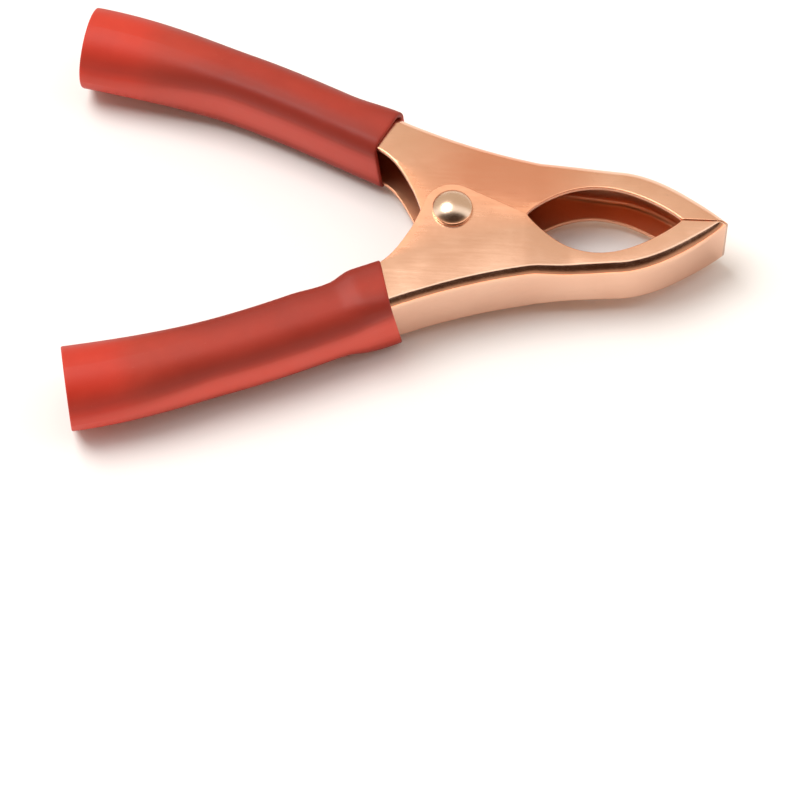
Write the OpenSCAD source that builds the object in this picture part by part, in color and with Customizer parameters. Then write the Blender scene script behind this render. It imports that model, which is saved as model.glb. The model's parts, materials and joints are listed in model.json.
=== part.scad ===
// Spring clip for a test or charging lead: two stamped jaws that turn on one
// rivet, a torsion spring between them and a soft sleeve on each handle.
// The clip lies on its side. +X points to the nose, +Y to the inner jaw,
// and +Z runs along the rivet. Z = 0 is the surface the clip lies on, and the
// origin is the middle of its footprint. Lengths are in millimetres.

/* [Jaws] */
// Distance from the rivet to the tip of the nose
jaw_reach = 41.7; // [40:0.1:43]
// Height of one jaw at its shoulder, from the centre line to the back
jaw_height = 10.2; // [9.8:0.1:10.8]
// Height of the mouth cut in the inner jaw
mouth_height = 5.3; // [4.5:0.1:5.8]
// Height of the mouth cut in the outer jaw
outer_mouth_height = 6.05; // [5:0.05:6.4]
// Where the mouth starts, ahead of the rivet
mouth_start = 11.1; // [10.6:0.1:11.8]
// Where the mouth ends and the two noses meet
mouth_end = 34.7; // [34:0.1:35.5]
// Width over the two cheeks of the inner jaw, and of both jaws at the mouth
nose_width = 9.9; // [9.4:0.1:10.2]
// How much wider both noses are at their tips
tip_flare = 0.8; // [0:0.1:1]
// Thickness of the sheet the jaws are stamped from
sheet = 0.8; // [0.7:0.05:0.9]
// Outside radius of the bends between back and cheeks, at the ears
bend = 1.5; // [1.2:0.1:1.8]
// Outside radius of the same bends at the tip of the nose
nose_bend = 1.2; // [1:0.1:1.6]
// Radius of the round ears at the rivet
ear_radius = 4.45; // [4.2:0.05:4.8]
// Gap left between the two closed noses
seam = 0.14; // [0.1:0.02:0.3]

/* [Handles] */
// How far behind the rivet the handles' middle lines end
handle_reach = 56.9; // [55:0.1:59]
// Distance from the centre line to the end of a handle's middle line
handle_spread = 30.5; // [29.5:0.1:32]
// Angle of a handle to the centre line where it leaves the ears
handle_angle = 24.5; // [23:0.5:26]
// Angle of a handle to the centre line at its rear end
rear_angle = 11; // [9:0.5:15]
// Width over the cheeks of the outer jaw's handle
handle_width = 10.4; // [10:0.1:10.8]
// Outside radius of a handle's bends, for the hand
handle_bend = 3.2; // [2.4:0.1:3.2]
// Length of bare sleeve behind the end of the steel
sleeve_overhang = 11; // [10:0.5:13]

/* [Sleeves] */
// Outside diameter of a sleeve at its round rear end
sleeve_diameter = 12.8; // [12.4:0.1:13.2]
// Wall of the soft sleeves
sleeve_wall = 0.85; // [0.7:0.05:1]
// How far back the inner jaw's sleeve sits on its handle
inner_slide = 0.65; // [-0.5:0.05:1]
// How far back the outer jaw's sleeve sits on its handle, less than 0 for forward
outer_slide = -0.4; // [-0.8:0.05:0.5]

/* [Rivet and spring] */
// Diameter of the rivet's shank
rivet_diameter = 4; // [3.6:0.1:4.2]
// Diameter of the rivet's domed head
head_diameter = 6.1; // [5.6:0.1:7]
// Height of the rivet's domed head
head_height = 1.9; // [1.5:0.1:2.2]
// Diameter of the spring wire
wire = 1.4; // [1.2:0.1:1.4]
// Full turns of the spring, besides the part turn between its legs
spring_turns = 4; // [3:1:4]

/* [Wire crimp] */
// Inside diameter of the open crimp barrel
crimp_bore = 5; // [4:0.1:5]
// Length of the crimp barrel
crimp_length = 7; // [6:0.5:7]

/* [Hidden] */
// slack between faces that nearly touch
slack = 0.1;
// width over the outer jaw's ears, which lie outside the inner jaw's
ear_width = nose_width + 2 * sheet + 2 * slack;
// depth of the handle channel to its back, and to its open side
back_depth = 3.4;
open_depth = [3.5, 3.7];
// the outer jaw's cheeks end in a shallow lobe just behind the ears, and the
// handle has a slight waist behind it
lobe_depth = [0, 0.25];
waist_depth = [0, 0.35];
// slope and curve of the back behind the shoulder, and of the crest ahead of it
back_slope = 0.19;
back_curve = 0.006;
crest_slope = 0.079;
crest_curve = 0.0011;
// places along the back of a jaw: shoulder and brow
shoulder = 13;
brow = 25;
handle_front_x = -7.9;
// nominal length of a handle's middle line, and the reach of its curve's poles
handle_length = 51;
front_pole = 19;
rear_pole = 23;
steps = 4;
rivet_bore = rivet_diameter / 2 + 0.05;
tail_height = 1.1;
tail_diameter = 5.4;
coil = rivet_diameter / 2 + wire / 2 + 0.5;
pitch = wire + 0.1;
metal_end = 1 - sleeve_overhang / handle_length;
mouth_heights = [mouth_height, outer_mouth_height];
sleeve_slide = [inner_slide, outer_slide];
sleeve_gap = 0.08;
// slant of a sleeve's front cut: how far it is set back per millimetre across
// the handle from the open side, up the clip, and up the clip at the back only
sleeve_rake = [[-0.05, 0.1, 0], [0.05, 0, 0.13]];

// the two jaws, as indexes of the lists above
INNER = 0;
OUTER = 1;

// ---- plane curves; both jaws are described on the +Y side ----

function unit(v) = v / norm(v);
function mix(a, b, t) = a + (b - a) * t;
function ease(t) = let (c = max(0, min(1, t))) c * c * (3 - 2 * c);
function ray(angle, length) = [cos(angle), sin(angle)] * length;

// height of the back of a jaw above the centre line
function brow_height() =
    jaw_height - crest_slope * (brow - shoulder)
    - crest_curve * pow(brow - shoulder, 2);
function back_height(x) =
    x < shoulder
    ? jaw_height + back_slope * (shoulder - x) + back_curve * pow(shoulder - x, 2)
    : x < brow
    ? jaw_height - crest_slope * (x - shoulder) - crest_curve * pow(x - shoulder, 2)
    : mix(brow_height(), seam / 2,
          pow((x - brow) / (jaw_reach - brow), 1.72));
function back(x) = [x, back_height(x)];

// middle line of a handle, from the ears (t = 0) to the rear end (t = 1)
handle_front = back(handle_front_x) - ray(90 - handle_angle, back_depth);
handle_rear = [-handle_reach, handle_spread];
handle_poles = [
    handle_front,
    handle_front + ray(180 - handle_angle, front_pole),
    handle_rear - ray(180 - rear_angle, rear_pole),
    handle_rear
];
function handle(t) =
    pow(1 - t, 3) * handle_poles[0] + 3 * t * pow(1 - t, 2) * handle_poles[1]
    + 3 * t * t * (1 - t) * handle_poles[2] + pow(t, 3) * handle_poles[3];
function handle_way(t) = unit(handle(t + 0.001) - handle(t - 0.001));
// direction across a handle, towards its back
function handle_out(t) = let (w = handle_way(t)) [w[1], -w[0]];

// the outer jaw's handle widens and deepens into its ears, and the steel of
// both handles narrows towards its rear end
function flare(t) = 1 - ease((t * handle_length - 4) / 3.4);
function taper(t) = ease((t - metal_end) / 0.2 + 1);
function lobe(t) = flare(t) * (1 - 0.12 * max(0, 4 - t * handle_length));
function waist(t) = ease(1 - abs(t * handle_length - 8.5) / 5.5);
function handle_open(jaw, t) =
    open_depth[jaw] + lobe_depth[jaw] * lobe(t) - waist_depth[jaw] * waist(t)
    - 0.8 * taper(t);
function full_width(jaw, t) =
    jaw == INNER ? nose_width : mix(handle_width, ear_width, flare(t));
function channel_width(jaw, t) = full_width(jaw, t) - 1.4 * taper(t);
function handle_bend_at(t) =
    mix(bend, handle_bend, ease((t * handle_length - 0.5) / 9));

// ---- stamped jaws: a row of U sections [back point, edge point, width, bend] ----

// places along a handle, closer together where it changes quickest
front_marks = [for (i = [0 : 16]) 0.75 * i / handle_length];
// the handle's section runs on for a little way ahead of its curve's start
ear_mark = -1.2 / handle_length;
function marks(end, count) = concat(
    front_marks,
    [for (i = [1 : count]) mix(12 / handle_length, end, i / count)]
);
function backwards(list) = [for (i = [len(list) - 1 : -1 : 0]) list[i]];
function handle_stations(jaw) = [
    for (t = backwards(concat([ear_mark], marks(metal_end, 10))))
        [handle(t) + back_depth * handle_out(t),
         handle(t) - handle_open(jaw, t) * handle_out(t),
         channel_width(jaw, t), handle_bend_at(t)]
];
function ear_point(angle) = ray(angle, ear_radius);
// rear edge of the cheeks, from the handle down to the ears
function rear_edge_stations(jaw) = let (
        top = handle(ear_mark) - handle_open(jaw, ear_mark) * handle_out(ear_mark),
        start = handle(ear_mark)[0] + back_depth * handle_out(ear_mark)[0],
        width = channel_width(jaw, 0)
    ) [
    for (i = [1 : 5])
        let (t = i / 5)
        [back(mix(start, -2.6, t)),
         mix(top, ear_point(-168), t) + [0.5 * sin(180 * t), 0],
         width, bend]
];
function ear_stations(jaw) = [
    for (i = [1 : 8])
        let (t = i / 8)
        [back(mix(-2.6, 3.6, t)), ear_point(mix(-168, -62, t)),
         channel_width(jaw, 0), bend]
];
function neck_stations(jaw) = [
    for (i = [1 : 3])
        let (t = i / 3)
        [back(mix(3.6, mouth_start - 0.3, t)),
         mix(ear_point(-62), [mouth_start - 0.3, seam / 2], t),
         channel_width(jaw, 0), bend]
];
// width over the cheeks at the mouth and nose, and the bend radius there
function tip_share(x) = ease((x - 20) / 16);
function width_at(jaw, x) =
    mix(channel_width(jaw, 0), nose_width, ease((x - mouth_start) / 2.2))
    + tip_flare * tip_share(x);
function bend_at(x) = mix(bend, nose_bend, tip_share(x));
function mouth_stations(jaw) = [
    for (i = [0 : 14])
        let (
            t = i / 14,
            x = mix(mouth_start, mouth_end, t),
            lift = mouth_heights[jaw] * pow(max(0, sin(180 * pow(t, 0.9))), 0.87)
        )
        [back(mix(mouth_start, mouth_end + 1.3, t)), [x, seam / 2 + lift],
         width_at(jaw, x), bend_at(x)]
];
function nose_stations(jaw) = [
    for (i = [1 : 4])
        let (
            t = i / 4,
            x = mix(mouth_end, jaw_reach - nose_bend - 0.6, t)
        )
        [back(mix(mouth_end + 1.3, jaw_reach, t)), [x, seam / 2],
         width_at(jaw, x), bend_at(x)]
];
function stations(jaw) = concat(
    handle_stations(jaw), rear_edge_stations(jaw), ear_stations(jaw),
    neck_stations(jaw), mouth_stations(jaw), nose_stations(jaw)
);

// one side of a U section: from the cheek's edge round the bend to the back
function u_half(s, inset, side) = let (
        way = unit(s[1] - s[0]),
        half = s[2] / 2,
        r = s[3] - inset,
        edge = [s[1][0], s[1][1], side * (half - inset)]
    ) concat([edge], [
    for (i = [0 : steps])
        let (
            a = 90 - 90 * i / steps,
            p = s[0] + way * (s[3] - r * cos(a)),
            z = side * (half - s[3] + r * sin(a))
        )
        [p[0], p[1], z]
]);
function u_line(s, inset) =
    concat(u_half(s, inset, 1), backwards(u_half(s, inset, -1)));
function u_ring(s) = concat(u_line(s, 0), backwards(u_line(s, sheet)));

// faces between rings of n points, and the two ends of a row of U sections
function side_faces(rings, n) = [
    for (k = [0 : rings - 2], j = [0 : n - 1], half = [0, 1])
        let (
            a = k * n + j,
            b = k * n + (j + 1) % n,
            c = b + n,
            d = a + n
        )
        j % (n / 2) < n / 4
        ? (half == 0 ? [a, b, d] : [b, c, d])
        : (half == 0 ? [a, b, c] : [a, c, d])
];
function end_faces(start, n, flip) = [
    for (j = [0 : n / 2 - 2])
        let (f = [start + j, start + n - 1 - j, start + n - 2 - j, start + j + 1])
        flip ? backwards(f) : f
];

module stamped(jaw) {
    rings = [for (s = stations(jaw)) u_ring(s)];
    n = len(rings[0]);
    polyhedron(
        points = [for (ring = rings) each ring],
        faces = concat(
            side_faces(len(rings), n),
            end_faces(0, n, false),
            end_faces((len(rings) - 1) * n, n, true)
        )
    );
}

module rivet_hole() {
    translate([0, 0, -ear_width])
        cylinder(r = rivet_bore, h = 2 * ear_width, $fn = 64);
}

// open barrel behind the outer jaw's handle, joined to its back by a neck
crimp_at = metal_end + (2.5 + crimp_length / 2) / handle_length;
crimp_shift = back_depth - sheet / 2 - (crimp_bore / 2 + 0.375);
module crimp() {
    at = handle(crimp_at) + crimp_shift * handle_out(crimp_at);
    way = handle_way(crimp_at);
    translate([at[0], at[1], 0])
        rotate([0, 0, atan2(way[1], way[0])]) {
            // the barrel lies along local +X, open to the middle of the clip
            difference() {
                rotate([0, 90, 0])
                    cylinder(r = crimp_bore / 2 + 0.75, h = crimp_length,
                             center = true, $fn = 64);
                rotate([0, 90, 0])
                    cylinder(r = crimp_bore / 2, h = 2 * crimp_length,
                             center = true, $fn = 64);
                translate([0, crimp_bore, 0])
                    cube([2 * crimp_length, 2 * crimp_bore, 0.84 * crimp_bore],
                         center = true);
            }
            translate([-crimp_length / 2 - 4, -crimp_bore / 2 - 0.7, -1.8])
                cube([6, 0.65, 3.6]);
        }
}

// ---- soft sleeves: rings of rounded rectangles that turn round at the rear ----

// section of a sleeve at t: [half width, back, open side, two corner radii]
function sleeve_section(jaw, t, inset) = let (
        round_off = ease((t - 0.55) / 0.45),
        radius = sleeve_diameter / 2 - inset,
        grow = sleeve_wall + sleeve_gap - inset
    ) [
        mix(full_width(jaw, t) / 2 + grow, radius, round_off),
        mix(back_depth + grow, radius, round_off),
        mix(handle_open(jaw, min(t, 0.5)) + grow, radius, round_off),
        mix(handle_bend_at(t) + grow, radius, round_off),
        mix(0.35 + grow, radius, round_off)
    ];
// a corner's point of such a section: [across the handle, up the clip]
function corner_point(section, corner, angle) = let (
        to_back = corner == 0 || corner == 3,
        up = corner < 2,
        r = to_back ? section[3] : section[4]
    ) [
        (to_back ? section[1] - r : r - section[2]) + r * cos(angle),
        (up ? section[0] - r : r - section[0]) + r * sin(angle)
    ];
// the front end is cut at a slant, which fades out along the sleeve
function sleeve_point(jaw, t, inset, corner, angle) = let (
        square = corner_point(sleeve_section(jaw, t, inset), corner, angle),
        fade = 1 - ease(t * handle_length / 14),
        across = square[0] + open_depth[jaw],
        upward = square[1],
        to_back = across / (open_depth[jaw] + back_depth),
        set_back = [across, upward, upward * to_back] * sleeve_rake[jaw],
        s = t + set_back * fade / handle_length,
        slanted = corner_point(sleeve_section(jaw, s, inset), corner, angle),
        p = handle(s) + slanted[0] * handle_out(s)
    ) [p[0], p[1], slanted[1]];
corner_steps = 5;
function sleeve_ring(jaw, t, inset) = [
    for (corner = [0 : 3], i = [0 : corner_steps])
        sleeve_point(jaw, t, inset, corner, 90 * corner + 90 * i / corner_steps)
];
function sleeve_marks(jaw) = [
    for (t = marks(1, 14)) t + sleeve_slide[jaw] / handle_length
];
module sleeve(jaw) {
    outside = [for (t = sleeve_marks(jaw)) sleeve_ring(jaw, t, 0)];
    inside = [for (t = backwards(sleeve_marks(jaw))) sleeve_ring(jaw, t, sleeve_wall)];
    rings = concat(outside, inside);
    n = len(outside[0]);
    last = len(rings);
    faces = [
        for (k = [0 : last - 1], j = [0 : n - 1], part = [0, 1])
            let (
                a = k * n + j,
                b = k * n + (j + 1) % n,
                c = ((k + 1) % last) * n + (j + 1) % n,
                d = ((k + 1) % last) * n + j
            )
            part == 0 ? [a, c, b] : [a, d, c]
    ];
    polyhedron(points = [for (ring = rings) each ring], faces = faces);
}

// ---- spring: wire round the rivet, one leg along each handle ----

leg_rest = handle(0.17) + (back_depth - sheet - wire / 2 - 0.15) * handle_out(0.17);
// where a leg leaves the coil, so that it runs straight to its rest
leg_turn = atan2(leg_rest[1], leg_rest[0]) - acos(coil / norm(leg_rest));
spring_rise = (spring_turns + 2 * leg_turn / 360) * pitch;
function coil_point(u) = let (
        angle = mix(-leg_turn, leg_turn + 360 * spring_turns, u),
        p = ray(angle, coil)
    ) [p[0], p[1], spring_rise * (u - 0.5)];
// the legs run inwards, clear of the rounded corners of the handles
leg_level = 1.4;
leg_ends = [
    [leg_rest[0], -leg_rest[1], -leg_level],
    [leg_rest[0], leg_rest[1], leg_level]
];
coil_steps = 24 * (spring_turns + 1);
spring_line = concat(
    [for (i = [0 : 3]) mix(leg_ends[0], coil_point(0), i / 4)],
    [for (i = [0 : coil_steps]) coil_point(i / coil_steps)],
    [for (i = [1 : 4]) mix(coil_point(1), leg_ends[1], i / 4)]
);
module torsion_spring() {
    n = 8;
    last = len(spring_line) - 1;
    points = [
        for (k = [0 : last])
            let (
                way = unit(spring_line[min(k + 1, last)] - spring_line[max(k - 1, 0)]),
                side = unit(cross(way, [0, 0, 1])),
                up = cross(side, way)
            )
            for (j = [0 : n - 1])
                spring_line[k]
                + wire / 2 * (cos(360 * j / n) * side + sin(360 * j / n) * up)
    ];
    color("#8d8f92")
        polyhedron(
            points = points,
            faces = concat(
                [for (f = side_faces(last + 1, n)) backwards(f)],
                [[for (j = [0 : n - 1]) j]],
                [[for (j = [n - 1 : -1 : 0]) last * n + j]]
            )
        );
}

// ---- rivet: domed head on top, rolled tail below ----

module pivot_rivet() {
    top = ear_width / 2 + 0.02;
    rim = 0.4;
    dome = head_height - rim;
    dome_radius = (pow(head_diameter / 2, 2) + dome * dome) / (2 * dome);
    color("#e0b48a") {
        difference() {
            union() {
                translate([0, 0, -top - tail_height / 2])
                    cylinder(d = rivet_diameter, h = 2 * top + tail_height / 2 + rim,
                             $fn = 64);
                translate([0, 0, top])
                    cylinder(d = head_diameter, h = rim, $fn = 64);
                intersection() {
                    translate([0, 0, top + head_height - dome_radius])
                        sphere(r = dome_radius, $fn = 64);
                    translate([0, 0, top + rim / 2])
                        cylinder(d = head_diameter, h = head_height, $fn = 64);
                }
                translate([0, 0, -top - tail_height])
                    cylinder(d1 = tail_diameter - 1, d2 = tail_diameter,
                             h = tail_height, $fn = 64);
            }
            // hollow end of the shank that the tail was rolled from
            translate([0, 0, -top - tail_height - 1])
                cylinder(d = rivet_diameter * 0.55, h = 2.6, $fn = 64);
        }
    }
}

module outer_jaw() {
    color("#c98a5e")
        mirror([0, 1, 0])
            difference() {
                union() {
                    stamped(OUTER);
                    crimp();
                }
                rivet_hole();
            }
}

module inner_jaw() {
    color("#c98a5e")
        difference() {
            stamped(INNER);
            rivet_hole();
        }
}

module outer_sleeve() {
    color("#c8503c")
        mirror([0, 1, 0])
            sleeve(OUTER);
}

module inner_sleeve() {
    color("#c8503c")
        sleeve(INNER);
}

// outermost points of the sleeves' round ends, for the middle of the footprint
function rear_ring(jaw) = sleeve_ring(jaw, 1 + sleeve_slide[jaw] / handle_length, 0);
rear_x = min([for (jaw = [INNER, OUTER], p = rear_ring(jaw)) p[0]]);
side_y = [for (jaw = [INNER, OUTER]) max([for (p = rear_ring(jaw)) p[1]])];
lift = ear_width / 2 + 0.02 + tail_height;

translate([-(rear_x + jaw_reach) / 2, (side_y[OUTER] - side_y[INNER]) / 2, lift]) {
    outer_jaw();
    inner_jaw();
    pivot_rivet();
    torsion_spring();
    outer_sleeve();
    inner_sleeve();
}
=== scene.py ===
"""A spring clip with two stamped jaws and soft handle sleeves, lying on its side."""

import json
import math

import bmesh
import bpy
import numpy as np
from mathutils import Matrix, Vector


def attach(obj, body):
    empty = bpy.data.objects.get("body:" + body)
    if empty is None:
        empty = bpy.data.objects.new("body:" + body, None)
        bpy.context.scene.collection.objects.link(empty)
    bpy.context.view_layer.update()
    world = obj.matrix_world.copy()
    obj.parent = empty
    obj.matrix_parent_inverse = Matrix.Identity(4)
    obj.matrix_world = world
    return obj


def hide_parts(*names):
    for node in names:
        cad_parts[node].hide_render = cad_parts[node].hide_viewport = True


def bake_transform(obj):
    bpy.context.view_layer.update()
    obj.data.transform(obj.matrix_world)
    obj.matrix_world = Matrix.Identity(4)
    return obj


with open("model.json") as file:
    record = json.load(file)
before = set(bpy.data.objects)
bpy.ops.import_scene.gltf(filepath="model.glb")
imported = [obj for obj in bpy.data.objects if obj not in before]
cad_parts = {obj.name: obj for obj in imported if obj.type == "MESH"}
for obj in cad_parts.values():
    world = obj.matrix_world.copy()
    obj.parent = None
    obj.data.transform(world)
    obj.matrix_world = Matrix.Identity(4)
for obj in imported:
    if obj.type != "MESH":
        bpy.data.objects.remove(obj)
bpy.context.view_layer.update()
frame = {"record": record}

# ---------------------------------------------------------------- dimensions
# Millimetres about the rivet's axis, at the middle of the clip's width. They
# are the CAD model's, but for the folds, which are looser here (BROW_BEND).
PIVOT = np.array(frame["record"]["behaviour"]["joints"][0]["pos_m"]) * 1000

JAW_REACH = 41.7
JAW_HEIGHT = 10.2
MOUTH_HEIGHT = (5.3, 6.05)
MOUTH_START, MOUTH_END = 11.1, 34.7
NOSE_WIDTH = 9.9
TIP_FLARE = 0.8
SHEET = 0.8
BEND, BROW_BEND, NOSE_BEND, HANDLE_BEND = 1.5, 1.7, 1.2, 3.2
# the mouth's sides bow as a power of a sine whose crest leans to the nose
MOUTH_LEAN, MOUTH_POWER = 0.9, 0.87
# length over which the outer jaw narrows to the nose's width
NARROWING = 7.0
EAR_RADIUS = 4.45
# the ear is an arc between these angles about the rivet
EAR_FROM, EAR_TO = -168, -62
# where the back stands over the two ends of the arc, and the edge's hollow before it
BACK_FROM, BACK_TO, EAR_HOLLOW = -2.6, 3.6, 0.5
# the back runs ahead of the edge where the nose closes
BACK_LEAD = 1.3
SEAM = 0.14
SHOULDER, BROW = 13.0, 25.0
BACK_SLOPE, BACK_CURVE = 0.19, 0.006
CREST_SLOPE, CREST_CURVE = 0.079, 0.0011
NOSE_POWER = 1.72

HANDLE_REACH, HANDLE_SPREAD = 56.9, 30.5
HANDLE_ANGLE, REAR_ANGLE = 24.5, 11.0
FRONT_POLE, REAR_POLE = 19.0, 23.0
HANDLE_WIDTH = 10.4
HANDLE_FRONT_X = -7.9
HANDLE_LENGTH = 51.0
BACK_DEPTH = 3.4
STEEL_END = 1 - 11 / HANDLE_LENGTH
EAR_MARK = -1.2 / HANDLE_LENGTH
CRIMP_SHOWS = STEEL_END + 3.2 / HANDLE_LENGTH

SLEEVE_DIAMETER = 12.8
SLEEVE_WALL = 0.85
SLEEVE_GAP = 0.08

RIVET_DIAMETER = 4.0
HEAD_DIAMETER, HEAD_HEIGHT = 6.1, 1.9
TAIL_DIAMETER, TAIL_HEIGHT = 5.4, 1.1
WIRE = 1.4
SPRING_TURNS = 4

CRIMP_BORE, CRIMP_LENGTH, CRIMP_WALL = 5.0, 7.0, 0.75
# the barrel stands this far behind the steel's end; half its slot, in bores
CRIMP_SETBACK, CRIMP_SLOT = 2.5, 0.42

# pairs are for the inner jaw and the outer jaw
INNER, OUTER = 0, 1
SIDE = (1, -1)
OPEN_DEPTH = (3.5, 3.7)
LOBE_DEPTH = (0.0, 0.25)
WAIST_DEPTH = (0.0, 0.35)
SLEEVE_SLIDE = (0.65, -0.4)
# set-back of a sleeve's front cut across, up, and up at the back only
SLEEVE_RAKE = ((-0.05, 0.1, 0.0), (0.05, 0.0, 0.13))
EAR_WIDTH = NOSE_WIDTH + 2 * SHEET + 0.2


# ------------------------------------------------------------- plane curves
def unit(v):
    return v / np.linalg.norm(v)


def mix(a, b, t):
    return a + (b - a) * t


def ease(t):
    t = min(1.0, max(0.0, t))
    return t * t * (3 - 2 * t)


def ray(degrees, length):
    a = math.radians(degrees)
    return np.array([math.cos(a), math.sin(a)]) * length


def back_height(x):
    """Height of a jaw's back above the centre line."""
    if x < SHOULDER:
        d = SHOULDER - x
        return JAW_HEIGHT + BACK_SLOPE * d + BACK_CURVE * d * d
    d = min(x, BROW) - SHOULDER
    y = JAW_HEIGHT - CREST_SLOPE * d - CREST_CURVE * d * d
    if x < BROW:
        return y
    return mix(y, SEAM / 2, ((x - BROW) / (JAW_REACH - BROW)) ** NOSE_POWER)


def back(x):
    return np.array([x, back_height(x)])


_front = back(HANDLE_FRONT_X) - ray(90 - HANDLE_ANGLE, BACK_DEPTH)
_rear = np.array([-HANDLE_REACH, HANDLE_SPREAD])
POLES = (
    _front,
    _front + ray(180 - HANDLE_ANGLE, FRONT_POLE),
    _rear - ray(180 - REAR_ANGLE, REAR_POLE),
    _rear,
)


def handle(t):
    """Middle line of a handle, from the ears (0) to the sleeve's rear end (1)."""
    s = 1 - t
    a, b, c, d = POLES
    return s**3 * a + 3 * t * s * s * b + 3 * t * t * s * c + t**3 * d


def handle_way(t):
    return unit(handle(t + 1e-3) - handle(t - 1e-3))


def handle_out(t):
    w = handle_way(t)
    return np.array([w[1], -w[0]])


def flare(t):
    """1 near the ears, 0 along the handle."""
    return 1 - ease((t * HANDLE_LENGTH - 4) / 3.4)


def taper(t):
    return ease((t - STEEL_END) / 0.2 + 1)


def handle_open(jaw, t):
    """Depth of a handle's channel from its middle line to its open edge."""
    lobe = flare(t) * (1 - 0.12 * max(0.0, 4 - t * HANDLE_LENGTH))
    waist = ease(1 - abs(t * HANDLE_LENGTH - 8.5) / 5.5)
    shape = LOBE_DEPTH[jaw] * lobe - WAIST_DEPTH[jaw] * waist
    return OPEN_DEPTH[jaw] + shape - 0.8 * taper(t)


def full_width(jaw, t):
    return NOSE_WIDTH if jaw == INNER else mix(HANDLE_WIDTH, EAR_WIDTH, flare(t))


def channel_width(jaw, t):
    return full_width(jaw, t) - 1.4 * taper(t)


def handle_bend(t):
    return mix(BEND, HANDLE_BEND, ease((t * HANDLE_LENGTH - 0.5) / 9))


def nose_section(x, wide):
    """Width over the cheeks and bend radius at the mouth and nose."""
    step = ease((x - MOUTH_START) / NARROWING)
    tip = ease((x - 20) / 16)
    bend = mix(BEND, BROW_BEND, ease((x - MOUTH_START) / 10))
    return (
        mix(wide, NOSE_WIDTH, step) + TIP_FLARE * tip,
        mix(bend, NOSE_BEND, ease((x - 34) / 5.8)),
    )


# ------------------------------------------------------------ mesh building
def to_row(points, side=1):
    """Millimetres about the rivet to metres in the row frame, -1 for the outer jaw."""
    p = np.array(points, float).reshape(-1, 3)
    p[:, 1] *= side
    return (p + PIVOT) / 1000


class Build:
    """Collects points and faces, then makes one smooth mesh object of them."""

    def __init__(self, side=1):
        self.points, self.faces, self.shades, self.side = [], [], [], side

    def sweep(self, rings, closed=False, shades=None):
        """Skins rings of equal length, filled across at each end unless closed."""
        k, n = len(rings), len(rings[0])
        faces = []
        for a in range(k if closed else k - 1):
            b = (a + 1) % k
            for j in range(n):
                i = (j + 1) % n
                faces.append((a * n + j, a * n + i, b * n + i, b * n + j))
        if not closed:
            for start in (0, (k - 1) * n):
                for j in range(n // 2 - 1):
                    quad = (j, j + 1, n - 2 - j, n - 1 - j)
                    faces.append(tuple(start + i for i in quad))
        start = len(self.points)
        points = [p for ring in rings for p in ring]
        self.points += [tuple(p) for p in to_row(points, self.side)]
        self.shades += shades or [0.0] * len(points)
        self.faces += [tuple(start + i for i in f) for f in faces]

    def object(self, name, material):
        mesh = bpy.data.meshes.new(name)
        mesh.from_pydata(self.points, [], self.faces)
        shade = mesh.attributes.new("shade", "FLOAT", "POINT")
        shade.data.foreach_set("value", self.shades)
        work = bmesh.new()
        work.from_mesh(mesh)
        bmesh.ops.remove_doubles(work, verts=work.verts, dist=1e-7)
        bmesh.ops.recalc_face_normals(work, faces=work.faces)
        work.to_mesh(mesh)
        work.free()
        mesh.polygons.foreach_set("use_smooth", [True] * len(mesh.polygons))
        obj = bpy.data.objects.new(name, mesh)
        bpy.context.scene.collection.objects.link(obj)
        mesh.materials.append(material)
        weighted = obj.modifiers.new("flat faces", "WEIGHTED_NORMAL")
        weighted.mode, weighted.weight = "FACE_AREA", 80
        return obj


# ------------------------------------------------------------------- jaws
EDGE_ROUND = 0.13
EAR_STATION = 45
# the cheeks roll over a little towards the bend
ROLL_REACH, ROLL_DROP, ROLL_STEPS = 6.0, 0.3, 8


def bend_line():
    """Quarter turn from cheek to back that is slacker in its middle, one unit each way."""
    turns = [90, 82, 73, 65, 58, 51, 44, 38, 25, 12, 0]
    points = [np.array([0.0, 0.0])]
    for a, b in zip(turns, turns[1:]):
        radius = 2.1 if 44 <= b < 65 else 0.6
        a, b = math.radians(a), math.radians(b)
        step = np.array([math.cos(b) - math.cos(a), math.sin(a) - math.sin(b)])
        points.append(points[-1] + radius * step)
    points = np.array(points) / points[-1]
    return [(t, 1 - x, y) for t, (x, y) in zip(turns, points)]


BEND_LINE = bend_line()


def u_line(station, inside):
    """Half of a U section, from the cheek's edge round the bend to the back."""
    outer, edge, width, bend = station
    way = unit(edge - outer)
    flat = float(np.linalg.norm(edge - outer)) - bend - 2 * EDGE_ROUND
    reach = min(ROLL_REACH, flat)
    drop = ROLL_DROP * reach / ROLL_REACH
    depth = SHEET if inside else 0.0
    sign = -1 if inside else 1
    line = []
    for a in (0, 30, 60, 90):
        c, s = math.cos(math.radians(a)), math.sin(math.radians(a))
        p = edge - way * EDGE_ROUND * (1 - c)
        line.append((p, width / 2 - depth - sign * EDGE_ROUND * (1 - s)))
    for i in range(ROLL_STEPS):
        f = i / ROLL_STEPS
        p = outer + way * (bend + reach * (1 - f))
        line.append((p, width / 2 - depth - drop * f * f))
    r = bend - depth
    for turn, inward, down in BEND_LINE:
        if inside:
            a = math.radians(turn)
            inward, down = 1 - math.cos(a) * r / bend, 1 - math.sin(a) * r / bend
        p = outer + way * bend * inward
        line.append((p, width / 2 - drop - bend * down))
    return line


def u_ring(station):
    outside, inside = u_line(station, False), u_line(station, True)
    ring = [(p[0], p[1], z) for p, z in outside]
    ring += [(p[0], p[1], -z) for p, z in reversed(outside)]
    ring += [(p[0], p[1], -z) for p, z in inside]
    ring += [(p[0], p[1], z) for p, z in reversed(inside)]
    return ring


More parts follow.
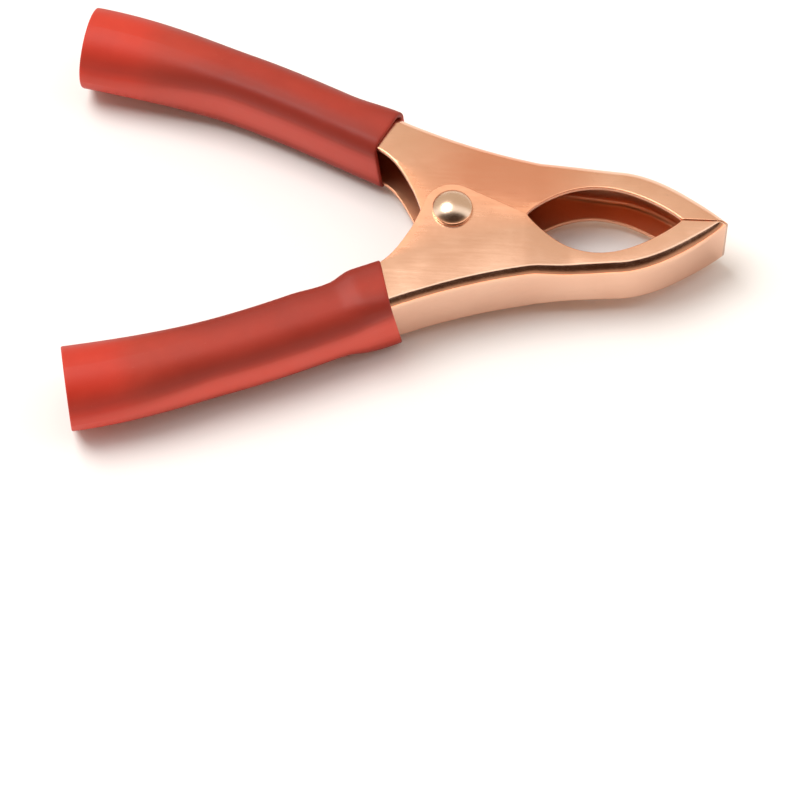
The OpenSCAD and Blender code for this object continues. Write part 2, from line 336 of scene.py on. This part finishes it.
def stations(jaw):
    """U sections along a jaw: back point, cheek edge point, width, bend radius."""
    out = []
    marks = [EAR_MARK] + [0.5 * i / HANDLE_LENGTH for i in range(25)]
    marks += [mix(12 / HANDLE_LENGTH, STEEL_END, i / 20) for i in range(1, 21)]
    for t in reversed(marks):
        across = handle_out(t)
        out.append((
            handle(t) + BACK_DEPTH * across,
            handle(t) - handle_open(jaw, t) * across,
            channel_width(jaw, t),
            handle_bend(t),
        ))
    wide = channel_width(jaw, 0)
    top = handle(EAR_MARK) - handle_open(jaw, EAR_MARK) * handle_out(EAR_MARK)
    start = handle(EAR_MARK)[0] + BACK_DEPTH * handle_out(EAR_MARK)[0]
    ear_start, ear_end = ray(EAR_FROM, EAR_RADIUS), ray(EAR_TO, EAR_RADIUS)
    for i in range(1, 13):
        t = i / 12
        hollow = np.array([EAR_HOLLOW * math.sin(math.pi * t), 0])
        edge = mix(top, ear_start, t) + hollow
        out.append((back(mix(start, BACK_FROM, t)), edge, wide, BEND))
    for i in range(1, 23):
        t = i / 22
        edge = ray(mix(EAR_FROM, EAR_TO, t), EAR_RADIUS)
        out.append((back(mix(BACK_FROM, BACK_TO, t)), edge, wide, BEND))
    neck = np.array([MOUTH_START - 0.3, SEAM / 2])
    for i in range(1, 9):
        t = i / 8
        edge = mix(ear_end, neck, t)
        out.append((back(mix(BACK_TO, neck[0], t)), edge, wide, BEND))
    for i in range(49):
        t = i / 48
        x = mix(MOUTH_START, MOUTH_END, t)
        bow = max(0.0, math.sin(math.pi * t**MOUTH_LEAN)) ** MOUTH_POWER
        lift = MOUTH_HEIGHT[jaw] * bow
        out.append((
            back(mix(MOUTH_START, MOUTH_END + BACK_LEAD, t)),
            np.array([x, SEAM / 2 + lift]),
            *nose_section(x, wide),
        ))
    for i in range(1, 17):
        t = i / 16
        edge = np.array([mix(MOUTH_END, JAW_REACH - NOSE_BEND - 0.6, t), SEAM / 2])
        out.append((
            back(mix(MOUTH_END + BACK_LEAD, JAW_REACH, t)),
            edge,
            *nose_section(edge[0], wide),
        ))
    return out


def crimp(build):
    """Open barrel at the end of the outer jaw's handle, on a neck from its back."""
    middle = STEEL_END + (CRIMP_SETBACK + CRIMP_LENGTH / 2) / HANDLE_LENGTH
    shift = BACK_DEPTH - SHEET / 2 - (CRIMP_BORE / 2 + CRIMP_WALL / 2)
    way, across = handle_way(middle), handle_out(middle)
    centre = handle(middle) + shift * across
    inner, outer = CRIMP_BORE / 2, CRIMP_BORE / 2 + CRIMP_WALL
    slot = math.degrees(math.asin(CRIMP_SLOT * CRIMP_BORE / inner))
    # round the barrel from one lip to the other, lips rounded over
    steps = 44
    first, last = slot - 1.5, 360 - slot + 1.5
    arc = [(outer, mix(first, last, i / steps)) for i in range(steps + 1)]
    arc.append(((inner + outer) / 2, last + 2.5))
    arc += [(inner, last - (last - first) * i / steps) for i in range(steps + 1)]
    arc.append(((inner + outer) / 2, first - 2.5))
    rings = []
    for x, grow in ((-0.5, -0.12), (-0.47, 0), (0.47, 0), (0.5, -0.12)):
        ring = []
        for r, a in arc:
            a = math.radians(a)
            wide = r + (grow if r > inner + 0.1 else -grow)
            p = centre + way * x * CRIMP_LENGTH - across * wide * math.cos(a)
            ring.append((p[0], p[1], wide * math.sin(a)))
        rings.append(ring)
    build.sweep(rings)
    # the neck, its outside and its inside a little within the barrel's wall
    rings = []
    for x, wide in ((-6.0, 2.3), (-4.0, 2.2), (-3.2, 1.85), (-1.5, 1.8)):
        ring = []
        for depth in (0.06, 0.72):
            p = centre + way * x + across * (outer - depth)
            pair = [(p[0], p[1], -wide), (p[0], p[1], wide)]
            ring += pair if depth < 0.1 else pair[::-1]
        rings.append(ring)
    build.sweep(rings)


def soften(line, first, last):
    """Rounds the kink where the handle's edge turns down to the ears."""
    edges = [station[1] for station in line]
    for _ in range(8):
        for i in range(first, last):
            edges[i] = (edges[i - 1] + 2 * edges[i] + edges[i + 1]) / 4
    return [(s[0], edge, *s[2:]) for s, edge in zip(line, edges)]


def make_jaw(jaw, name, material):
    build = Build(SIDE[jaw])
    line = soften(stations(jaw), EAR_STATION - 6, EAR_STATION + 7)
    rings = [u_ring(s) for s in line]
    quarter = len(rings[0]) // 4
    # 1 on the inside of the channel and on its cut edges, where painted shade darkens the
    # copper
    cut = [0.0, 0.0, 0.6, 1.0]
    side = cut + [0.0] * (quarter - len(cut))
    channel_shade = [1.0] * quarter
    build.sweep(rings, shades=(side + side[::-1] + channel_shade + channel_shade) * len(rings))
    if jaw == OUTER:
        crimp(build)
    return build.object(name, material)


# ----------------------------------------------------------------- sleeves
CORNER_STEPS = 9
FLAT_STEPS = 6
# the painted shade along a corner lies in from it, on the cheek, and reaches
# this far across the cheek and down the side
SHADE_INWARD = 1.1
SHADE_REACH = np.array([2.4, 1.9])
# the outside's corners on the open side, and the inside's at the sheet's edge
OPEN_ROUND, EDGE_FIT = 2.2, 0.35
CROWN = 0.1
# where the section begins to turn round, and where its rake fades out
ROUND_FROM, RAKE_LENGTH = 0.55, 14


def sleeve_section(jaw, t, inset):
    """Points (across, up) of a rounded rectangle that turns round at the rear."""
    grow = SLEEVE_WALL + SLEEVE_GAP - inset
    radius = SLEEVE_DIAMETER / 2 - inset
    turn = ease((t - ROUND_FROM) / (1 - ROUND_FROM))
    half = mix(full_width(jaw, t) / 2 + grow, radius, turn)
    out = mix(BACK_DEPTH + grow, radius, turn)
    opened = mix(handle_open(jaw, min(t, 0.5)) + grow, radius, turn)
    r_back = mix(handle_bend(t) + grow, radius, turn)
    # the outside is rounder than the inside at the steel's sharp edges
    sharp = mix(OPEN_ROUND, EDGE_FIT + SLEEVE_GAP, inset / SLEEVE_WALL)
    r_open = mix(sharp, radius, turn)
    crown = CROWN * (1 - turn) * ease(t * HANDLE_LENGTH / 6)
    corners = []
    for corner in range(4):
        r = r_back if corner in (0, 3) else r_open
        u = out - r if corner in (0, 3) else r - opened
        z = half - r if corner < 2 else r - half
        corners.append((u, z, r))
    plane = []
    for corner in range(4):
        u, z, r = corners[corner]
        for i in range(CORNER_STEPS + 1):
            a = math.radians(90 * corner + 90 * i / CORNER_STEPS)
            plane.append(np.array([u + r * math.cos(a), z + r * math.sin(a)]))
        # the flat that follows this corner, a little crowned
        u, z, r = corners[(corner + 1) % 4]
        a = math.radians(90 * (corner + 1))
        normal = np.array([math.cos(a), math.sin(a)])
        start, end = plane[-1], np.array([u, z]) + r * normal
        for i in range(1, FLAT_STEPS):
            f = i / FLAT_STEPS
            plane.append(mix(start, end, f) + normal * crown * 4 * f * (1 - f))
    return plane


def sleeve_painted_shading(jaw, t):
    """Painted shade along the steel's corners and painted light on its two sides, for the
    vinyl's colour.
    """
    plane = sleeve_section(jaw, t, 0.0)
    centres = []
    for corner in range(4):
        third = CORNER_STEPS // 3 * (1 if corner % 2 == 0 else 2)
        c = plane[(CORNER_STEPS + FLAT_STEPS) * corner + third]
        centres.append(c - np.array([math.copysign(SHADE_INWARD, c[0]), 0]))
    fade = 1 - 0.35 * ease((t - 0.6) / 0.4)
    shades = []
    for p in plane:
        # painted shade, strongest along each corner
        near = sum(math.exp(-np.sum(((p - c) / SHADE_REACH) ** 2)) for c in centres)
        # painted light: paler on the two sides, away from the corners
        side_light = ease(0.9 * abs(p[0]) - 1.6) * ease(1.6 - 0.33 * abs(p[1]))
        shades.append(fade * (near - 0.8 * side_light * (1 - min(1.0, near))))
    return shades


def sleeve_ring(jaw, t, inset):
    """Ring of the sleeve at t, raked where the front end is cut."""
    fade = 1 - ease(t * HANDLE_LENGTH / RAKE_LENGTH)
    square = sleeve_section(jaw, t, inset)
    if fade < 1e-6:
        middle, across = handle(t), handle_out(t)
        return [(*(middle + u * across), z) for u, z in square]
    ring = []
    across_rake, up_rake, back_rake = SLEEVE_RAKE[jaw]
    for j, (u, z) in enumerate(square):
        across = u + OPEN_DEPTH[jaw]
        to_back = across / (OPEN_DEPTH[jaw] + BACK_DEPTH)
        set_back = across * across_rake + z * up_rake + z * to_back * back_rake
        s = t + set_back * fade / HANDLE_LENGTH
        u, z = sleeve_section(jaw, s, inset)[j]
        ring.append((*(handle(s) + u * handle_out(s)), z))
    return ring


# metres over which the steel's colour fades out along the sleeve
STEEL_FADE = 0.006


def make_sleeve(jaw, name, material):
    """The tube's wall as a loop: out along the outside, round the rear rim and back."""
    rim = 0.2
    outside = [(mix(rim, HANDLE_LENGTH - rim, i / 96), 0.0) for i in range(97)]
    corner = [(0.06, 0.06), (0.0, 0.2)]
    rear = [(HANDLE_LENGTH - s, d) for s, d in corner]
    rear += [(HANDLE_LENGTH - s, SLEEVE_WALL - d) for s, d in corner[::-1]]
    inside = [(s, SLEEVE_WALL) for s, _ in outside[::-1]]
    front = [(s, SLEEVE_WALL - d) for s, d in corner] + corner[::-1]
    loop = outside + rear + inside + front
    slide = SLEEVE_SLIDE[jaw]
    rings = [sleeve_ring(jaw, (s + slide) / HANDLE_LENGTH, d) for s, d in loop]
    build = Build(SIDE[jaw])
    shades = [v for s, _ in loop for v in sleeve_painted_shading(jaw, (s + slide) / HANDLE_LENGTH)]
    build.sweep(rings, closed=True, shades=shades)
    obj = build.object(name, material)
    # how much steel is behind the wall, for the vinyl's colour
    mesh = obj.data
    behind = mesh.attributes.new("steel_behind", "FLOAT", "POINT")
    tail = to_row([(*handle(CRIMP_SHOWS), 0)], SIDE[jaw])[0]
    way = handle_way(CRIMP_SHOWS)
    way = np.array([way[0], way[1] * SIDE[jaw]])
    values = []
    for v in mesh.vertices:
        past = (v.co.x - tail[0]) * way[0] + (v.co.y - tail[1]) * way[1]
        values.append(ease(0.5 - past / STEEL_FADE))
    behind.data.foreach_set("value", values)
    return obj


# ------------------------------------------------------------ rivet, spring
def lathe(build, profile):
    """Turns a closed profile of (radius, z) about the rivet's axis."""
    steps = 72
    rings = []
    for i in range(steps):
        a = 2 * math.pi * i / steps
        rings.append([(r * math.cos(a), r * math.sin(a), z) for r, z in profile])
    build.sweep(rings, closed=True)


TAIL_BORE, TAIL_DEPTH, TAIL_LIP = 1.1, 1.0, 1.15


def make_rivet(name, material):
    """Domed head above, straight shank, and a tail rolled over round a hollow."""
    top = EAR_WIDTH / 2 + 0.02
    rim, edge = 0.6, 0.15
    dome = HEAD_HEIGHT - rim
    radius = HEAD_DIAMETER / 2
    ball = (radius**2 + dome**2) / (2 * dome)
    rim_angle = math.asin(radius / ball)
    profile = [(0.0, top + HEAD_HEIGHT)]
    for i in range(1, 17):
        a = rim_angle * i / 17
        profile.append((ball * math.sin(a), top + HEAD_HEIGHT - ball * (1 - math.cos(a))))
    profile += [
        (radius - 0.04, top + rim + 0.02), (radius, top + rim - 0.1),
        (radius, top + edge), (radius - 0.04, top + 0.04), (radius - edge, top),
        (RIVET_DIAMETER / 2, top), (RIVET_DIAMETER / 2, -top),
    ]
    # round the tail's fat ring, then up its hollow
    ring_r = (TAIL_DIAMETER / 2 - TAIL_LIP) / 2
    ring_x = TAIL_DIAMETER / 2 - ring_r
    height = TAIL_HEIGHT / 2
    turns = [90 - 190 * i / 12 for i in range(13)] + [-90 - 90 * i / 8 for i in range(1, 8)]
    for turn in turns:
        a = math.radians(turn)
        profile.append((
            ring_x + ring_r * math.cos(a), -top - height + height * math.sin(a)
        ))
    roof = -top + TAIL_DEPTH
    profile += [
        (TAIL_BORE, -top - 0.4), (TAIL_BORE, roof), (0.6, roof + 0.35), (0.0, roof + 0.5)
    ]
    build = Build()
    lathe(build, profile)
    return build.object(name, material)


# where the legs' ends bear on the handles, and how far off the middle plane
LEG_END, LEG_LEVEL = 0.17, 1.4


def make_spring(name, material):
    """Coil round the rivet with one straight leg against the back of each handle."""
    coil = RIVET_DIAMETER / 2 + WIRE / 2 + 0.5
    inside = BACK_DEPTH - SHEET - WIRE / 2 - 0.15
    rest = handle(LEG_END) + inside * handle_out(LEG_END)
    turn = math.degrees(math.atan2(rest[1], rest[0])) - math.degrees(
        math.acos(coil / np.linalg.norm(rest))
    )
    rise = (SPRING_TURNS + 2 * turn / 360) * (WIRE + 0.1)

    def coil_point(u):
        p = ray(mix(-turn, turn + 360 * SPRING_TURNS, u), coil)
        return np.array([p[0], p[1], rise * (u - 0.5)])

    ends = [
        np.array([rest[0], -rest[1], -LEG_LEVEL]),
        np.array([rest[0], rest[1], LEG_LEVEL]),
    ]
    line = [mix(ends[0], coil_point(0), i / 14) for i in range(14)]
    steps = 48 * (SPRING_TURNS + 1)
    line += [coil_point(i / steps) for i in range(steps + 1)]
    line += [mix(coil_point(1), ends[1], i / 14) for i in range(1, 15)]
    sides = 16
    rings = []
    last = len(line) - 1
    for k in range(last + 1):
        way = unit(line[min(k + 1, last)] - line[max(k - 1, 0)])
        side = unit(np.cross(way, [0, 0, 1]))
        up = np.cross(side, way)
        angles = [2 * math.pi * j / sides for j in range(sides)]
        around = [math.cos(a) * side + math.sin(a) * up for a in angles]
        # sheared ends, their rims rounded
        if k in (0, last):
            face = line[k]
            step = way if k == 0 else -way
            near = [face + a * WIRE / 2 * 0.82 for a in around]
            far = [face + step * 0.12 + a * WIRE / 2 for a in around]
            rings += [near, far] if k == 0 else [far, near]
        else:
            rings.append([line[k] + a * WIRE / 2 for a in around])
    build = Build()
    build.sweep(rings)
    return build.object(name, material)


# --------------------------------------------------------------- materials
def new_material(name):
    m = bpy.data.materials.new(name)
    m.use_nodes = True
    nodes, links = m.node_tree.nodes, m.node_tree.links
    return m, nodes, links, nodes["Principled BSDF"]


def node(nodes, kind, **values):
    n = nodes.new(kind)
    for key, value in values.items():
        if key in n.inputs:
            n.inputs[key].default_value = value
        else:
            setattr(n, key, value)
    return n


def noise(nodes, links, coords, scale, detail, rough, stretch=None):
    """Noise over the object's own coordinates, in features per metre."""
    if stretch:
        mapping = node(nodes, "ShaderNodeMapping")
        mapping.inputs["Scale"].default_value = stretch
        links.new(coords, mapping.inputs["Vector"])
        coords = mapping.outputs["Vector"]
    n = node(nodes, "ShaderNodeTexNoise", Scale=scale, Detail=detail, Roughness=rough)
    links.new(coords, n.inputs["Vector"])
    return n.outputs["Fac"]


def ramp(nodes, links, value, stops):
    r = nodes.new("ShaderNodeValToRGB")
    while len(r.color_ramp.elements) < len(stops):
        r.color_ramp.elements.new(0.5)
    for element, (at, colour) in zip(r.color_ramp.elements, stops):
        element.position, element.color = at, (*colour, 1)
    links.new(value, r.inputs["Fac"])
    return r.outputs["Color"]


def span(nodes, links, value, lo, hi, to_lo, to_hi, kind="LINEAR"):
    m = node(nodes, "ShaderNodeMapRange", interpolation_type=kind)
    for key, v in zip(("From Min", "From Max", "To Min", "To Max"), (lo, hi, to_lo, to_hi)):
        m.inputs[key].default_value = v
    links.new(value, m.inputs["Value"])
    return m.outputs["Result"]


def blend_colour(nodes, links, factor, a, b):
    m = nodes.new("ShaderNodeMix")
    m.data_type = "RGBA"
    links.new(factor, m.inputs["Factor"])
    for socket, value in ((m.inputs[6], a), (m.inputs[7], b)):
        if isinstance(value, tuple):
            socket.default_value = (*value, 1)
        else:
            links.new(value, socket)
    return m.outputs[2]


def bump(nodes, links, shader, *layers):
    """Stacks (height, strength, distance in metres) layers into the shader's normal."""
    normal = None
    for height, strength, distance in layers:
        b = node(nodes, "ShaderNodeBump", Strength=strength, Distance=distance)
        links.new(height, b.inputs["Height"])
        if normal:
            links.new(normal, b.inputs["Normal"])
        normal = b.outputs["Normal"]
    links.new(normal, shader.inputs["Normal"])


def copper(name, light, deep, rough_lo, rough_hi, grain=1.0, shade_patch=None):
    """Plated sheet; the last argument is (centre, inner and outer radius, tint) of a
    redder, darker area of painted shade.
    """
    m, nodes, links, shader = new_material(name)
    place = nodes.new("ShaderNodeTexCoord").outputs["Object"]
    clouds = noise(nodes, links, place, 110, 5, 0.6)
    spots = noise(nodes, links, place, 1500, 3, 0.7)
    rolled = noise(nodes, links, place, 1, 3, 0.6, stretch=(160, 2600, 2600))
    colour = ramp(nodes, links, clouds, [(0.32, deep), (0.68, light)])
    # painted shade: a redder, darker area that fades out between the two radii
    if shade_patch:
        centre, near, far, tint = shade_patch
        away = node(nodes, "ShaderNodeVectorMath", operation="DISTANCE")
        away.inputs[1].default_value = centre
        links.new(place, away.inputs[0])
        painted_shade_mask = span(nodes, links, away.outputs["Value"], near, far, 1.0, 0.0)
        colour = blend_colour(nodes, links, painted_shade_mask, colour, tint)
    tarnish = span(nodes, links, spots, 0.62, 0.8, 0.0, 0.35)
    colour = blend_colour(nodes, links, tarnish, colour, tuple(c * 0.62 for c in deep))
    streaks = span(nodes, links, rolled, 0.3, 0.7, 0.0, 0.16)
    colour = blend_colour(nodes, links, streaks, colour, tuple(c * 0.8 for c in light))
    # painted shade: a darker, redder copper inside the channel and on its cut edges, and a
    # rougher one there
    channel_shade = node(nodes, "ShaderNodeAttribute", attribute_name="shade").outputs["Fac"]
    shaded_copper = tuple(c * k for c, k in zip(deep, (1.0, 0.85, 0.75)))
    colour = blend_colour(nodes, links, channel_shade, colour, shaded_copper)
    links.new(colour, shader.inputs["Base Color"])
    shader.inputs["Metallic"].default_value = 1.0
    share = span(nodes, links, spots, 0.3, 0.7, 0.2, 0.7)
    both = blend_colour(nodes, links, share, clouds, rolled)
    rough = span(nodes, links, both, 0.3, 0.7, rough_lo, rough_hi)
    dull = span(nodes, links, channel_shade, 0.0, 1.0, 0.0, 0.12)
    total = node(nodes, "ShaderNodeMath", operation="ADD")
    links.new(rough, total.inputs[0])
    links.new(dull, total.inputs[1])
    links.new(total.outputs[0], shader.inputs["Roughness"])
    bump(nodes, links, shader,
         (clouds, 0.12 * grain, 0.0004), (rolled, 0.10 * grain, 0.00006),
         (spots, 0.03 * grain, 0.00005))
    return m


def vinyl(name):
    """Soft red vinyl, darker over steel, with painted shade along the steel's corners and
    painted light on its sides.
    """
    m, nodes, links, shader = new_material(name)
    place = nodes.new("ShaderNodeTexCoord").outputs["Object"]
    steel = node(nodes, "ShaderNodeAttribute", attribute_name="steel_behind").outputs["Fac"]
    painted_shading = node(nodes, "ShaderNodeAttribute", attribute_name="shade").outputs["Fac"]
    clouds = noise(nodes, links, place, 130, 4, 0.55)
    fine = noise(nodes, links, place, 2200, 3, 0.6)
    over_steel = [(0.3, (0.36, 0.033, 0.016)), (0.7, (0.44, 0.043, 0.022))]
    over_air = [(0.3, (0.47, 0.030, 0.014)), (0.7, (0.55, 0.042, 0.020))]
    solid = ramp(nodes, links, clouds, over_steel)
    hollow = ramp(nodes, links, clouds, over_air)
    colour = blend_colour(nodes, links, steel, hollow, solid)
    # painted light makes the sides paler, and painted shade darkens bands along the steel's
    # corners
    # painted light: a paler red on the sides, where the value is below zero
    free = span(nodes, links, painted_shading, -0.8, 0.0, 0.85, 0.0)
    colour = blend_colour(nodes, links, free, colour, (0.66, 0.10, 0.07))
    # painted shade: a dark red along the corners, where the value is above zero
    painted_corner_shade = span(nodes, links, painted_shading, 0.0, 1.0, 0.0, 0.84)
    colour = blend_colour(nodes, links, painted_corner_shade, colour, (0.17, 0.016, 0.010))
    dust = span(nodes, links, fine, 0.66, 0.85, 0.0, 0.2)
    colour = blend_colour(nodes, links, dust, colour, (0.50, 0.16, 0.11))
    links.new(colour, shader.inputs["Base Color"])
    links.new(span(nodes, links, clouds, 0.3, 0.7, 0.46, 0.58), shader.inputs["Roughness"])
    shader.inputs["Specular IOR Level"].default_value = 0.28
    shader.inputs["Subsurface Weight"].default_value = 0.12
    shader.inputs["Subsurface Radius"].default_value = (1.0, 0.18, 0.10)
    shader.inputs["Subsurface Scale"].default_value = 0.0012
    bump(nodes, links, shader, (clouds, 0.25, 0.0005), (fine, 0.05, 0.00006))
    return m


def wire_steel(name):
    """Drawn spring wire."""
    m, nodes, links, shader = new_material(name)
    place = nodes.new("ShaderNodeTexCoord").outputs["Object"]
    clouds = noise(nodes, links, place, 300, 4, 0.6)
    drawn = noise(nodes, links, place, 4200, 2, 0.6)
    greys = [(0.3, (0.30, 0.29, 0.28)), (0.7, (0.50, 0.49, 0.47))]
    colour = ramp(nodes, links, clouds, greys)
    links.new(colour, shader.inputs["Base Color"])
    shader.inputs["Metallic"].default_value = 1.0
    links.new(span(nodes, links, drawn, 0.3, 0.7, 0.24, 0.42), shader.inputs["Roughness"])
    bump(nodes, links, shader, (drawn, 0.2, 0.00004))
    return m


# ------------------------------------------------------------- the pieces
# painted shade on the inner jaw: a redder, darker area round a point just ahead of the
# rivet
shade_patch_centre = tuple((PIVOT + (8.0, 6.0, 4.0)) / 1000)
inner_painted_shade = (shade_patch_centre, 0.006, 0.017, (0.80, 0.365, 0.225))
# the outer jaw's copper is a little paler than the inner's, painted light
plates = {
    OUTER: copper("copper_outer", (0.86, 0.55, 0.395), (0.83, 0.50, 0.35), 0.16, 0.27),
    INNER: copper("copper_inner", (0.87, 0.54, 0.38), (0.83, 0.48, 0.32), 0.16, 0.27,
                  shade_patch=inner_painted_shade),
}
rivet_plate = copper("rivet_plate", (0.76, 0.58, 0.44), (0.67, 0.48, 0.35), 0.21, 0.29, 0.8)
red_vinyl = vinyl("red_vinyl")
spring_wire = wire_steel("spring_wire")

for jaw, nodename in ((OUTER, "outer_jaw"), (INNER, "inner_jaw")):
    piece = make_jaw(jaw, nodename + "_stamping", plates[jaw])
    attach(piece, nodename)
    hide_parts(nodename)
for jaw, nodename, body in (
    (OUTER, "outer_sleeve", "outer_jaw"), (INNER, "inner_sleeve", "inner_jaw")
):
    piece = make_sleeve(jaw, nodename + "_vinyl", red_vinyl)
    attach(piece, body)
    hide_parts(nodename)

rivet = make_rivet("pivot_rivet_headed", rivet_plate)
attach(rivet, "outer_jaw")
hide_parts("pivot_rivet")

spring = make_spring("torsion_spring_coil", spring_wire)
axis_at = Vector(PIVOT / 1000)
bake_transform(spring)
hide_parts("torsion_spring")


# ------------------------------------------------------- floor, light, camera
def make_floor():
    build = bmesh.new()
    bmesh.ops.create_circle(build, cap_ends=True, segments=96, radius=3.0)
    mesh = bpy.data.meshes.new("floor")
    build.to_mesh(mesh)
    build.free()
    floor = bpy.data.objects.new("floor", mesh)
    bpy.context.scene.collection.objects.link(floor)
    m, _, _, shader = new_material("floor_paper")
    shader.inputs["Base Color"].default_value = (0.90, 0.90, 0.89, 1)
    shader.inputs["Roughness"].default_value = 0.9
    shader.inputs["Specular IOR Level"].default_value = 0.1
    mesh.materials.append(m)


def make_world():
    """A white studio with a dark side in front, where the camera and the room are."""
    world = bpy.data.worlds.new("studio")
    bpy.context.scene.world = world
    world.use_nodes = True
    nodes, links = world.node_tree.nodes, world.node_tree.links
    nodes.clear()
    way = nodes.new("ShaderNodeTexCoord").outputs["Generated"]
    axes = nodes.new("ShaderNodeSeparateXYZ")
    links.new(way, axes.inputs[0])

    def step(axis, lo, hi, to_lo=0.0, to_hi=1.0):
        value = axes.outputs[axis]
        return span(nodes, links, value, lo, hi, to_lo, to_hi, kind="SMOOTHSTEP")

    def both(a, b):
        m = node(nodes, "ShaderNodeMath", operation="MULTIPLY")
        links.new(a, m.inputs[0])
        links.new(b, m.inputs[1])
        return m.outputs[0]

    # white overhead from side to side, warmer and dimmer behind it
    behind = step("Y", 0.10, 0.42)
    colour = blend_colour(nodes, links, behind, (1.45, 1.45, 1.45), (0.84, 0.71, 0.58))
    in_front = step("Y", -0.28, -0.10, 1.0, 0.0)
    # in front it is dark high up, where the camera is, and dim below that
    colour = blend_colour(nodes, links, in_front, colour, (0.60, 0.42, 0.31))
    high = both(step("Z", 0.44, 0.60), in_front)
    colour = blend_colour(nodes, links, high, colour, (0.044, 0.017, 0.006))
    # a low warm glow in front, just above the table
    low = both(step("Z", 0.08, 0.2, 1.0, 0.0), in_front)
    colour = blend_colour(nodes, links, low, colour, (3.2, 1.9, 1.45))
    glow = node(nodes, "ShaderNodeBackground")
    links.new(colour, glow.inputs["Color"])
    out = nodes.new("ShaderNodeOutputWorld")
    links.new(glow.outputs[0], out.inputs["Surface"])


def make_light(name, at, size, power):
    """A round soft box that looks at the middle of the floor."""
    data = bpy.data.lights.new(name, "AREA")
    data.shape, data.energy = "ELLIPSE", power
    data.size = data.size_y = size
    data.color = (1.0, 0.985, 0.96)
    light = bpy.data.objects.new(name, data)
    light.location = at
    light.rotation_euler = (-Vector(at)).to_track_quat("-Z", "Y").to_euler()
    bpy.context.scene.collection.objects.link(light)


def make_camera(azimuth, elevation, distance, target, across):
    """Looks at the target; across is the picture's width at that distance."""
    a, e = math.radians(azimuth), math.radians(elevation)
    back_way = Vector((
        math.sin(a) * math.cos(e), -math.cos(a) * math.cos(e), math.sin(e)
    ))
    data = bpy.data.cameras.new("camera")
    data.lens = data.sensor_width * distance / across
    camera = bpy.data.objects.new("camera", data)
    camera.location = Vector(target) + back_way * distance
    camera.rotation_euler = (-back_way).to_track_quat("-Z", "Y").to_euler()
    data.clip_start, data.clip_end = 0.01, 20
    bpy.context.scene.collection.objects.link(camera)
    bpy.context.scene.camera = camera


# the photograph's clip stands high in the frame, above a second one left out
AIM = axis_at + Vector((-0.00659, -0.03007, 0))

make_floor()
make_world()
make_light("key", (-0.40, 0.18, 0.93), 0.66, 7.8)
make_camera(azimuth=2.55, elevation=61.0, distance=0.6, target=AIM, across=0.119)
bpy.context.scene.view_settings.view_transform = "Standard"
